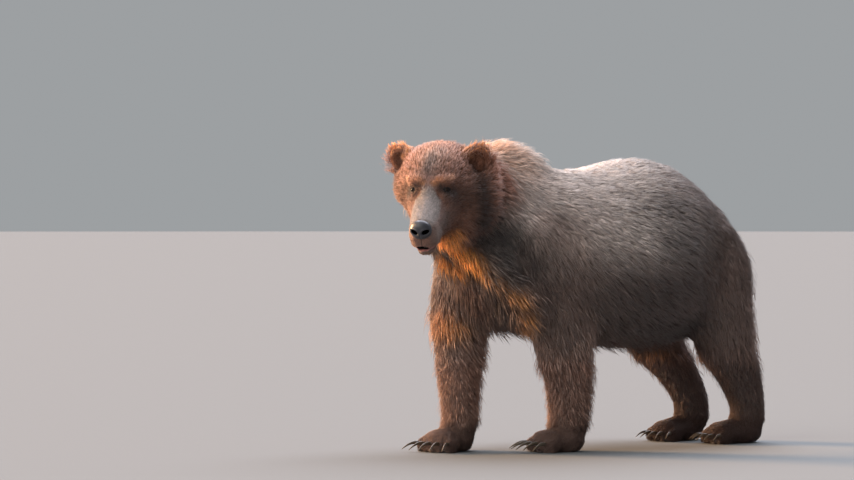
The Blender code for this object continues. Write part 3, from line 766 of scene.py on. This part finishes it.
def markings(points, normals, shares):
    # shares of frosted, reddish, golden and dark hair, the frosted and golden partly painted light and the
    # dark partly painted shade; and of pale muzzle, lip and dark bare skin, the muzzle's pale top partly
    # painted light and the dark bare skin partly painted shade in the mouth and nostrils
    at = onOneSide(points)
    across, ahead, up = at.T
    _, y, z = points.T

    def base(**parts):
        return sum(share * parts.get(part, parts.get("rest", 0)) for part, share in shares.items())

    low = ramp(-z, -0.9, -0.62)
    rear = ramp(y, 0.08, 0.62)
    frostAndLight = base(
        trunk=1, neck=0.8, head=0.17, foreleg_upper=0.85, hind_leg_upper=0.3, ear=0.15, tail=0.3,
        rest=0.1,
    )
    # frosted tips mostly on top and fewer towards the rear; the paler top is partly painted top light
    frostAndLight *= (0.14 + 0.86 * ramp(z, 0.7, 0.99)) * (1 - 0.74 * rear)
    # paler legs: frosted hair, and partly painted light thrown up from below
    frostAndLight += base(
        foreleg_upper=0.3, foreleg_lower=0.4, foreleg_paw=0.15, hind_leg_upper=0.2, hind_leg_lower=0.1,
    )
    frostAndLight = spread(points, frostAndLight, frostAndLightSpots)
    frostAndLight *= 1 - 0.7 * nearness(moved(points, toHead), (0.2, 0.1, 0), (0.08, 0.09, 0.16))
    rufous = base(
        head=0.72, ear=0.85, jaw=0.5, neck=0.24, trunk=0.08, foreleg_upper=0.4, foreleg_lower=0.6,
        foreleg_paw=0.35, rest=0.2,
    )
    darkAndShade = base(
        trunk=0.04, neck=0.12, head=0, foreleg_upper=0.04, foreleg_lower=0.05, foreleg_paw=0.4,
        hind_leg_upper=0.16, hind_leg_lower=0.4, hind_leg_paw=0.6, rest=0.05,
    )
    # darker low on the trunk and towards its rear, low on the neck, part way down the upper forelegs and at
    # the top of the thighs; under the belly this is painted shade as well as darker hair
    darkAndShade += (0.5 * low + 0.24 * rear) * shares["trunk"]
    darkAndShade += 0.7 * ramp(-z, -1.04, -0.86) * shares["neck"]
    darkAndShade += 0.22 * ramp(-z, -0.92, -0.74) * ramp(z, 0.42, 0.58) * shares["foreleg_upper"]
    darkAndShade += 0.4 * ramp(z, 0.68, 0.86) * shares["hind_leg_upper"]
    rufous = spread(points, rufous, rufousSpots)
    darkAndShade = spread(points, darkAndShade, darkAndShadeSpots)
    goldAndGlow = spread(points, np.zeros(len(points)), goldAndGlowSpots)
    # painted rim light: golden hair on the upper rims of the ears
    goldAndGlow = np.maximum(goldAndGlow, 0.8 * earRims(normals, shares) * ramp(up, 0.09, 0.14))
    pale = paleStripe(at)
    for *place, share in paleLips:
        pale = np.maximum(pale, share * nearness(at, place, paleReach))
    along, off, half, shut = mouthPlaces(at)
    half = half * (1 - shut) + 0.0004
    nearMouth = ramp(along, 0.02, 0.25) * (across < mouth["halfWidth"])
    lip = nearMouth * ramp(-np.abs(np.abs(off) - half - mouth["rollAt"]), -0.0065, -0.003)
    # painted shade: the gap between the lips is near black, for the inside of the mouth
    inside = nearMouth * ramp(-(np.abs(off) - half), -0.0012, 0.0006)
    # the cleft from the nose to the lip, painted dark as the shade in its groove
    cleft = ramp(-across, -0.0032, -0.0012) * (np.abs(up + 0.12) < 0.018) * (ahead < -0.31)
    inside = np.maximum(inside, 0.8 * cleft)
    # painted shade: the skin behind the nose pad is near black where it shows through the nostrils
    inside = np.maximum(inside, ramp(-inNose(points), -1, -0.85))
    for name in sides:
        u, v, w = eyePlaces(points, name)
        rim = ramp(-lidDistance(u, v) + 0.12 * np.abs(u), -0.0068, -0.0038)
        inside = np.maximum(inside, rim * (w > 0) * (np.hypot(u, v) < eyes["reach"]))
    marks = np.stack([frostAndLight, rufous, goldAndGlow, darkAndShade], 1).clip(0, 1)
    bare = np.stack([pale, lip, inside, np.zeros(len(points))], 1).clip(0, 1)
    return marks, bare


def colourLayer(mesh, name, values):
    writeTo(mesh.color_attributes.new(name, "FLOAT_COLOR", "POINT").data, "color", values)


def numberLayer(mesh, name, values):
    writeTo(mesh.attributes.new(name, "FLOAT", "POINT").data, "value", values)


def unwrapSkin(skin):
    # the skin laid out flat by its own faces
    bpy.context.view_layer.objects.active = skin
    skin.select_set(True)
    bpy.ops.object.mode_set(mode="EDIT")
    bpy.ops.mesh.select_all(action="SELECT")
    bpy.ops.uv.smart_project(angle_limit=math.radians(70), island_margin=0.004)
    bpy.ops.object.mode_set(mode="OBJECT")
    skin.data.uv_layers.active.name = "OFBake"
    return readOff(skin.data.uv_layers["OFBake"].uv, "vector", 2).reshape(-1, 3, 2)


marks, bare = markings(points, normals, shares)
colourLayer(skin.data, "marks", marks)
colourLayer(skin.data, "bare", bare)
for name in ("tone", "along"):
    numberLayer(skin.data, name, np.full(len(points), skinMaking[name]))
skinLayout = unwrapSkin(skin)
skin.data.materials.append(bearHair("short hair on skin", True))
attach(skin, "root")
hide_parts(*fleshNodes)
print("skin marked")


# which way the hair lies: away from the midline, back, up
coatLie = {
    "trunk": (0.1, 0.9, -0.42), "neck": (0.15, 0.72, -0.62), "tail": (0, 0.5, -1),
    "foreleg_upper": (0, 0.48, -0.88), "foreleg_lower": (0.05, 0.28, -0.95),
    "foreleg_paw": (0, -0.55, -0.55), "hind_leg_upper": (0, 0.4, -0.9),
    "hind_leg_lower": (0, 0.22, -0.97), "hind_leg_paw": (0, -0.55, -0.55),
}
lieMaking = {
    "fromNose": (0, -0.4, -0.07), "cheeksDown": 0.35, "rumpDown": 1, "backFlat": 0.35, "rounds": 6,
}


def alongSkin(ways, normals):
    return unit(ways - normals * (ways * normals).sum(1, keepdims=True))


def hairLie(points, normals, shares, edges):
    # unit directions along the skin
    at = moved(points, toHead)
    outward = np.sign(points[:, :1]) * (1, 0, 0)
    lie = np.zeros_like(points)
    fromNose = unit(at - lieMaking["fromNose"])
    fromNose[:, 2] -= lieMaking["cheeksDown"] * ramp(np.abs(at[:, 0]), 0.03, 0.14)
    toTip = np.stack([np.sign(at[:, 0]) * 0.45, np.full(len(at), 0.25), np.full(len(at), 1)], 1)
    for part, share in shares.items():
        if part == "ear":
            way = toTip @ headTurn.T
        elif part in ("head", "jaw"):
            way = unit(fromNose) @ headTurn.T
        else:
            across, back, up = coatLie[part]
            way = outward * across + (0, back, up)
        lie += way * share[:, None]
    # over the rump the hair turns down, and along the top of the back it lies straight back
    rear = ramp(points[:, 1], 0.4, 0.85) * (shares["trunk"] + shares["hind_leg_upper"])
    lie[:, 2] -= lieMaking["rumpDown"] * rear
    top = ramp(normals[:, 2], 0.35, 0.85) * shares["trunk"] * (1 - rear)
    lie[:, 2] += lieMaking["backFlat"] * top
    for _ in range(3):
        lie = relaxed(alongSkin(lie, normals), edges, lieMaking["rounds"])
    return alongSkin(lie, normals)


coat = {
    "tufts": 225000, "spacing": 0.00125, "spacingByLength": 0.05, "width": 0.52, "clump": 9,
    "clumpPull": 0.45, "patch": 0.003, "aboveFloor": 0.0012, "rimLonger": 0.02,
    "ownTurn": 0.16, "lockTurn": 0.14, "ownLength": (0.72, 1.18), "lockLength": (0.9, 1.1),
    "ownWidth": (0.8, 1.25), "ownLift": (0.85, 1.15), "ownFall": (0.5, 1.5), "ownPull": (0.4, 1),
    "ownFrostAndLight": (0.55, 1.45), "ownGoldAndGlow": (0.4, 1.25), "glow": 0.4,
    "ownTone": (0.12, 0.13), "lockTone": (0.09, 0.07), "patchTone": 0.2,  # and more on the face
    "rootDeep": 0.0025, "rootShare": 0.12, "straighter": 0.45, "fall": 0.1, "middleFall": 0.35,
}
random = np.random.default_rng(7)


def chooseRoots(mesh, lengths, closed):
    # tuft roots scattered over the skin, closest together where the hair is short
    corners = readOff(mesh.polygons, "vertices", 3, np.int64)
    a, b, c = (points[corners[:, k]] for k in range(3))
    area = np.linalg.norm(np.cross(b - a, c - a), axis=1) / 2
    length = lengths[corners].mean(1)
    want = area / (coat["spacing"] + coat["spacingByLength"] * length) ** 2
    want *= (1 - closed[corners].max(1)).clip(0, 1)
    order = np.argsort(length)
    steps = np.cumsum(want[order])
    draws = (np.arange(coat["tufts"]) + random.random(coat["tufts"])) / coat["tufts"]
    picks = np.searchsorted(steps, draws * steps[-1])
    faces = order[picks.clip(0, len(order) - 1)]
    r1, r2 = np.sqrt(random.random(len(faces))), random.random(len(faces))
    mix = np.stack([1 - r1, r1 * (1 - r2), r1 * r2], 1)
    return faces, corners[faces], mix


def atRoots(values):
    # the skin's values where each tuft stands
    values = values.reshape(len(values), -1)
    return (values[corners] * mix[:, :, None]).sum(1)


def lockLeaders(roots):
    # every tuft has a leader near it, whose lock it joins
    leaders = random.choice(len(roots), len(roots) // coat["clump"], replace=False)
    return nearest(roots, roots[leaders], leaders)


def turned(way, normal, angle):
    # way turned about the normal
    return way * np.cos(angle)[:, None] + np.cross(normal, way) * np.sin(angle)[:, None]


def tuftPaths(t, bends):
    # points along the middle of each tuft: it rises from the skin and lies down towards its tip
    deep = np.minimum(coat["rootDeep"], coat["rootShare"] * t["length"])
    place = t["root"] - t["normal"] * deep[:, None]
    path = [place]
    for step, lift in bends:
        # hair that stands up is also straighter
        lift = (lift * t["lift"] + coat["straighter"] * (t["lift"] - 1).clip(0, None)).clip(0.04, 1.15)
        way = t["way"] * np.cos(lift)[:, None] + t["normal"] * np.sin(lift)[:, None]
        place = place + way * (t["length"] * step)[:, None]
        path.append(place)
    return path


# each stretch's share of the length and its lift from the skin, in radians, and the width at each joint
shortForm = {"bends": [(0.42, 0.62), (0.58, 0.2)], "widths": [1]}
longForm = {"bends": [(0.25, 0.8), (0.38, 0.42), (0.37, 0.05)], "widths": [0.8, 1]}


def tuftMesh(name, t, form):
    # closed spindles with three sides, joined as one mesh
    path = tuftPaths(t, form["bends"])
    fall = t["fall"][:, None] * (0, 0, -1) * t["length"][:, None]
    path[-1] += fall
    if len(path) > 3:
        path[-2] += fall * coat["middleFall"]
    pull = coat["clumpPull"] * t["pull"][:, None]
    path[-1] += (path[-1][t["leaderHere"]] - path[-1]) * pull
    for place in path:
        place[:, 2] = place[:, 2].clip(coat["aboveFloor"], None)
    across = np.cross(t["normal"], t["way"])
    count, rings = len(t["root"]), len(form["widths"])
    stack = [path[0]]
    for middle, share in zip(path[1:], form["widths"]):
        half = (t["width"] * share / 2)[:, None]
        stack += [middle - across * half, middle + across * half, middle + t["normal"] * half * 0.9]
    stack.append(path[-1])
    each = len(stack)
    verts = np.stack(stack, 1).reshape(-1, 3)
    tip = each - 1
    faces = []
    for k in range(3):
        after = (k + 1) % 3
        faces += [(0, 1 + after, 1 + k), (tip, tip - 3 + k, tip - 3 + after)]
        for r in range(rings - 1):
            low, high = 1 + 3 * r, 4 + 3 * r
            faces += [(low + k, low + after, high + after), (low + k, high + after, high + k)]
    faces = np.array(faces)
    loops = (faces + each * np.arange(count)[:, None, None]).ravel()
    mesh = bpy.data.meshes.new(name)
    mesh.vertices.add(len(verts))
    writeTo(mesh.vertices, "co", verts)
    mesh.loops.add(len(loops))
    writeTo(mesh.loops, "vertex_index", loops, np.int32)
    mesh.polygons.add(len(loops) // 3)
    writeTo(mesh.polygons, "loop_start", np.arange(0, len(loops), 3), np.int32)
    mesh.update(calc_edges=True)
    joints = np.cumsum([0] + [step for step, _ in form["bends"]])
    along = np.concatenate([[0], np.repeat(joints[1:-1], 3), [1]])
    sideways = np.concatenate([[0.5], np.tile([0, 1, 0.5], rings), [0.5]])
    numberLayer(mesh, "along", np.tile(along, count))
    numberLayer(mesh, "tone", np.repeat(t["tone"], each))
    for layer in ("marks", "bare"):
        colourLayer(mesh, layer, np.repeat(t[layer], each, axis=0))
    corner = np.stack([sideways - 0.5, along - 0.5], 1) * coat["patch"]
    flat = t["layout"][:, None] + corner[faces.ravel()]
    writeTo(mesh.uv_layers.new(name="OFBake").uv, "vector", flat)
    mesh.shade_smooth()
    return mesh


def coatPiece(name, t, form):
    obj = newObject(name, tuftMesh(name, t, form))
    obj.data.materials.append(furMaterial)
    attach(obj, "root")


def pieceOf(roots):
    # the coat piece that each tuft belongs to, by part and side
    at = moved(roots, toHead)
    part = np.array(list(shares))[np.stack(list(shares.values()), 1).argmax(1)][corners[:, 0]]
    side = np.where(roots[:, 0] > 0, "left", "right")
    front = np.where(roots[:, 1] < (cadLow.y + cadHigh.y) / 2 + 0.12, "fore", "rear")
    result = []
    for p, s, f, y in zip(part, side, front, at[:, 1]):
        if p in ("head", "jaw", "ear"):
            result.append("coat_face" if y < -0.06 and p != "ear" else "coat_head")
        elif p == "neck":
            result.append("coat_neck_" + s)
        elif p in ("trunk", "tail"):
            result.append(f"coat_{f}body_{s}")
        else:
            result.append("coat_" + ("foreleg_" if p.startswith("fore") else "hind_leg_") + s)
    return np.array(result)


lengths = coatLengths(points, sum(share * coatLength[part] for part, share in shares.items()))
lengths += coat["rimLonger"] * earRims(normals, shares)
lifts = coatLift(points, shares)
lie = hairLie(points, normals, shares, edges)
sole = ramp(-points[:, 2], -0.012, -0.004) * ramp(-normals[:, 2], 0.5, 0.8)
closed = [ramp(bare[:, 1], 0.35, 0.6), ramp(bare[:, 2], 0.2, 0.5), sole, inNose(points) < 0.9]
closed = np.max(closed, axis=0)
faces, corners, mix = chooseRoots(skin.data, lengths, closed)
furMaterial = bearHair("guard hair", False)


def allTufts():
    count = len(faces)
    t = {"root": atRoots(points), "normal": unit(atRoots(normals))}
    way = alongSkin(unit(atRoots(lie)), t["normal"])
    leader = lockLeaders(t["root"])
    onFace = atRoots(shares["head"])[:, 0]

    def dice(what):
        return random.uniform(*coat[what], count)

    turn = random.normal(0, coat["ownTurn"], count) + random.normal(0, coat["lockTurn"], count)[leader]
    t["way"] = turned(way, t["normal"], turn * (1 - 0.5 * onFace))
    long = atRoots(lengths)[:, 0]
    t["length"] = long * dice("ownLength") * dice("lockLength")[leader]
    apart = coat["spacing"] + coat["spacingByLength"] * long
    t["width"] = apart * coat["width"] * dice("ownWidth")
    t["lift"] = dice("ownLift") * atRoots(lifts)[:, 0]
    t["fall"] = coat["fall"] * ramp(long, 0.03, 0.08) * dice("ownFall")
    t["pull"] = dice("ownPull")
    locks = [Vector(p) for p in t["root"][leader]]
    patches = np.array([noise.noise(p * 9) + 0.8 * noise.noise(p * 3.5) for p in locks])
    own, shared = random.normal(0, 1, count), random.normal(0, 1, count)[leader]
    (low, more), (lowShared, moreShared) = coat["ownTone"], coat["lockTone"]
    streaks = own * (low + more * onFace) + shared * (lowShared + moreShared * onFace)
    t["tone"] = (0.5 + streaks + coat["patchTone"] * patches).clip(0, 1)
    t["marks"] = atRoots(marks)
    for kind, what in ((0, "ownFrostAndLight"), (2, "ownGoldAndGlow")):
        t["marks"][:, kind] = (t["marks"][:, kind] * dice(what)).clip(0, 1)
    # painted glow: golden hair is made brighter, as if the sun shone through it
    t["tone"] = (t["tone"] + coat["glow"] * t["marks"][:, 2]).clip(0, 1)
    t["bare"] = atRoots(bare)
    t["layout"] = (skinLayout[faces] * mix[:, :, None]).sum(1)
    t["leader"] = leader
    return t


tufts = allTufts()
pieces = pieceOf(tufts["root"])


def chosenTufts(t, which):
    # the tufts picked, with each leader that isn't among them replaced by the tuft itself
    index = np.flatnonzero(which)
    here = np.full(len(which), -1)
    here[index] = np.arange(len(index))
    part = {key: value[index] for key, value in t.items() if key != "leader"}
    leader = here[t["leader"][index]]
    part["leaderHere"] = np.where(leader < 0, np.arange(len(index)), leader)
    return part


for name in sorted(set(pieces)):
    part = chosenTufts(tufts, pieces == name)
    coatPiece(name, part, shortForm)
    print(name, len(part["root"]), "tufts")


# longer locks where the coat breaks the outline: place, reach, how many for their area
fringes = throat + boxSpots(
    trunk=(
        (0.5, 0.05, 0.25, 0.2, 0.12, 0.14, 0.5), (0.5, 0.17, 1, 0.12, 0.14, 0.07, 1),
        (0.5, 0.55, 0, 0.25, 0.45, 0.05, 0.5),
    ),
    tail=((0.5, 0.8, 0.3, 0.08, 0.08, 0.1, 0.8),),
)
for name in sides:
    fringes += boxSpots(**{
        f"foreleg_{name}_upper": ((0.5, 0.9, 0.1, 0.12, 0.1, 0.13, 0.8),),
        f"foreleg_{name}_lower": ((0.5, 0.9, 0.6, 0.1, 0.08, 0.16, 0.7),),
        f"hind_leg_{name}_upper": ((0.4, 0.9, 0.3, 0.12, 0.12, 0.2, 0.6),),
    })
fringes += headSpots(((0.2, 0.08, -0.02, 0.05, 0.06, 0.1, 0.7),), sides.values())
fringe = {"locks": 12000, "longer": 1.3, "lift": 1.12, "fall": 0.04, "paler": 0.1, "scatter": 0.0015}


def fringeTufts():
    wanted = np.zeros(len(points))
    for place, reach, share in fringes:
        wanted = np.maximum(wanted, share * nearness(points, place, reach))
    chance = atRoots(wanted)[:, 0] * tufts["length"]
    picked = random.choice(len(faces), fringe["locks"], replace=False, p=chance / chance.sum())
    t = {key: value[picked] for key, value in tufts.items() if key != "leader"}
    t["length"] *= fringe["longer"]
    t["lift"] *= fringe["lift"]
    t["fall"] += fringe["fall"]
    t["tone"] = (t["tone"] + fringe["paler"]).clip(0, 1)
    t["root"] += random.normal(0, fringe["scatter"], (len(picked), 3))
    t["leaderHere"] = np.arange(len(picked))
    return t


coatPiece("coat_fringes", fringeTufts(), longForm)
print("fringes:", fringe["locks"], "locks")


cornea = {"bulge": 0.0009, "edge": 0.62}


def brightEye(name):
    # an eyeball with a clear cornea over a dark brown iris
    radius = eyeRadius(name)
    bm = bmesh.new()
    bmesh.ops.create_uvsphere(bm, u_segments=48, v_segments=32, radius=radius)
    turn = Vector((0, 0, 1)).rotation_difference(eyeAxes(name)[0])
    centre = Vector(eyeCentre(name))
    angles = []
    for v in bm.verts:
        angle = math.acos(max(-1, min(1, v.co.normalized().z)))
        bulge = cornea["bulge"] * max(0, 1 - (angle / cornea["edge"]) ** 2)
        v.co = centre + turn @ (v.co * (1 + bulge / radius))
        angles.append(angle)
    obj = finished(bm, "eyeball_" + name)
    obj.data.shade_smooth()
    numberLayer(obj.data, "fromMiddle", angles)
    obj.data.materials.append(eyeMaterial)
    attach(obj, "root")
    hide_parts("eye_" + name)


def wetEye():
    # a wet eye: black pupil, dark brown iris, darker rim
    finish = {"Roughness": 0.14, "Specular_IOR_Level": 0.16, "Coat_Weight": 0.06, "Coat_Roughness": 0.03}
    material, tree, shader = newMaterial("wet eye", **finish)
    angle = addNode(tree, "Attribute", {"attribute_name": "fromMiddle"})
    ring = addNode(tree, "ValToRGB", _0=angle.outputs["Fac"])
    stops = (
        (0, "#040303"), (0.24, "#040303"), (0.3, "#2C180C"), (0.52, "#1E1009"), (0.62, "#070404"),
        (1, "#1A100D"),
    )
    bands = ring.color_ramp.elements
    while len(bands) < len(stops):
        bands.new(0.5)
    for band, (place, code) in zip(bands, stops):
        band.position = place
        band.color = linear(code)
    feed(shader, Base_Color=ring.outputs[0])
    return material


eyeMaterial = wetEye()
for name in sides:
    brightEye(name)
print("eyes in place")


def noseSkin():
    # moist nose leather: dark, finely pebbled, cells about 1.5 mm across
    finish = {"Roughness": 0.4, "Coat_Weight": 0.2, "Coat_Roughness": 0.22}
    material, tree, shader = newMaterial("moist nose skin", **finish)
    place = addNode(tree, "TexCoord").outputs["Object"]
    cells = addNode(tree, "TexVoronoi", Vector=place, Scale=650)
    bump = addNode(tree, "Bump", Strength=0.5, Distance=0.0006, Height=cells.outputs[0])
    cloud = addNode(tree, "TexNoise", Vector=place, Scale=60)
    colour = painted(tree, linear("#15151B"), ((cloud.outputs[0], "#32333C"),))
    feed(shader, Base_Color=colour, Normal=bump.outputs[0])
    return material


nosePad = {
    "grid": 0.0016, "rounds": 9, "groove": 0.0024, "grooveWidth": 0.0022, "wider": 1.08,
    "nostril": (0.02, -0.07, 0.014, 0.0125), "deep": 0.013, "rim": 0.0013, "inside": 0.45,
}


def makeNose():
    obj = finished(welded("nose"), "nose_pad")
    modify(obj, "REMESH", mode="VOXEL", voxel_size=nosePad["grid"])
    modify(obj, "SMOOTH", iterations=nosePad["rounds"])
    mesh = applied(obj)
    x, y, z = moved(meshPoints(mesh), toHead).T
    groove = nosePad["groove"] * np.exp(-(x / nosePad["grooveWidth"]) ** 2) * ramp(-z, 0.06, 0.08)
    across, level, wide, tall = nosePad["nostril"]
    # a comma: round in front, with a slit that runs outwards
    off = np.abs(x) - across
    rise = z - level - 0.25 * off
    away = np.hypot(off / np.where(off > 0, wide * 1.25, wide), rise / np.where(rise > 0, tall, tall * 0.8))
    hollow = ramp(-away, -1.05, -0.55) * (y < -0.343)
    rim = nosePad["rim"] * np.exp(-((away - 1.25) / 0.22) ** 2) * (y < -0.345)
    push = groove * (y < -0.35) + nosePad["deep"] * hollow - rim
    setPoints(mesh, moved(np.stack([x * nosePad["wider"], y + push, z], 1), toWorld))
    mesh.shade_smooth()
    mesh.materials.append(noseSkin())
    # painted shade: the hollows of the nostrils are near black and matt, for the deep shade inside them
    darkAndShade, _, _ = newMaterial(
        "dark of the nostril", Base_Color=linear("#050404"), Roughness=0.95, Specular_IOR_Level=0,
    )
    mesh.materials.append(darkAndShade)
    for face in mesh.polygons:
        face.material_index = int(hollow[list(face.vertices)].mean() > nosePad["inside"])
    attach(obj, "root")
    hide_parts("nose")


makeNose()
print("nose in place")


def clawHorn():
    # worn horn: dark brown at the root, paler and scratched towards the tip
    material, tree, shader = newMaterial("claw horn", Roughness=0.38)
    along = addNode(tree, "Attribute", {"attribute_name": "along"})
    place = addNode(tree, "TexCoord").outputs["Object"]
    grain = addNode(tree, "TexNoise", Vector=place, Scale=180, Detail=4).outputs[0]
    halved = {"operation": "MULTIPLY_ADD"}
    share = addNode(tree, "Math", halved, _0=grain, _1=0.5, _2=along.outputs["Fac"])
    colour = painted(tree, linear("#1E1713"), ((share.outputs[0], "#7A6A56"),))
    bump = addNode(tree, "Bump", Strength=0.3, Distance=0.0005, Height=grain)
    feed(shader, Base_Color=colour, Normal=bump.outputs[0])
    return material


hornMaterial = clawHorn()
claw = {"flat": 0.02, "rounding": 2, "paleTip": 0.6}


def makeClaw(node):
    bm = welded(node)
    bmesh.ops.dissolve_limit(bm, angle_limit=claw["flat"], verts=bm.verts, edges=bm.edges)
    obj = finished(bm, node.replace("claw", "horn"))
    modify(obj, "SUBSURF", levels=claw["rounding"], render_levels=claw["rounding"])
    mesh = applied(obj)
    at = meshPoints(mesh)
    low, high = at[:, 2].min(), at[:, 2].max()
    numberLayer(mesh, "along", (high - at[:, 2]) / (high - low) * claw["paleTip"])
    mesh.shade_smooth()
    mesh.materials.append(hornMaterial)
    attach(obj, "root")
    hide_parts(node)


for node in sorted(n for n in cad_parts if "claw" in n):
    makeClaw(node)
print("claws in place")


def makeFloor():
    bm = bmesh.new()
    bmesh.ops.create_circle(bm, cap_ends=True, segments=96, radius=studio["floorRadius"])
    floor = finished(bm, "floor")
    material, _, _ = newMaterial(
        "matt pale floor", Base_Color=linear(studio["floor"]), Roughness=0.9, Specular_IOR_Level=0.1,
    )
    floor.data.materials.append(material)


makeFloor()
lightStudio(*placeCamera())
print("studio ready")
